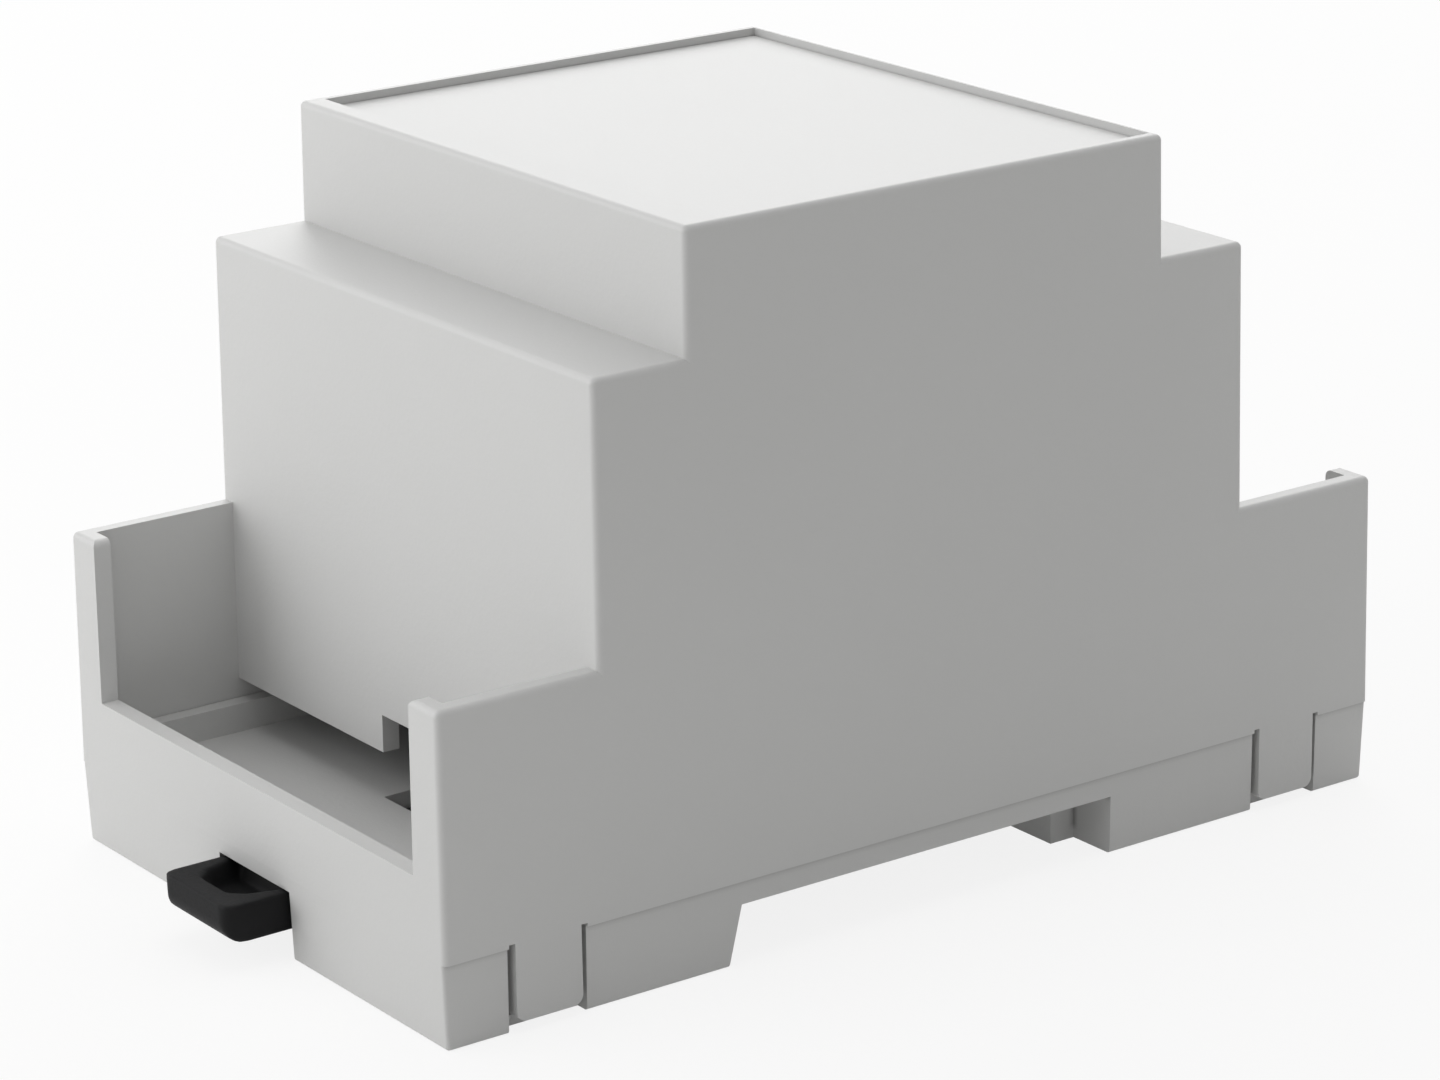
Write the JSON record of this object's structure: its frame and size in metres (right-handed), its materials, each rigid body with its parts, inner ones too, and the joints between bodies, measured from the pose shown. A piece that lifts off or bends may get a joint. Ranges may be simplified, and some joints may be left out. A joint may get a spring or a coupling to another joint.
{
  "type": "din rail enclosure",
  "caption": "Stepped moulded housing for a 35 mm mounting rail, with open terminal bays at both ends, a snap-in front panel and a sliding rail latch.",
  "frame": {"origin": "middle of the plane under the base that lies on the 35 mm rail, halfway between the rail's edges and halfway along the case's width", "axes": "+X along the rail, +Y across the rail from the sliding latch to the fixed hooks, +Z away from the rail towards the front panel"},
  "size_m": [0.0538, 0.0955, 0.0578],
  "materials": {
    "grey_housing": "fine spark-eroded matte, moulded light grey",
    "grey_panel": "fine spark-eroded matte, moulded light grey",
    "black_latch": "moulded black, low sheen"
  },
  "bodies": {
    "housing": {"base": "grey_housing", "cover": "grey_housing", "front_panel": "grey_panel"},
    "latch": {"rail_latch": "black_latch"}
  },
  "joints": [
    {"name": "latch_slide", "type": "slide", "parent": "housing", "child": "latch", "axis": [0, -1, 0], "range_m": [0, 0.0028], "stiffness_N_per_m": 1500, "springref_m": -0.001}
  ]
}
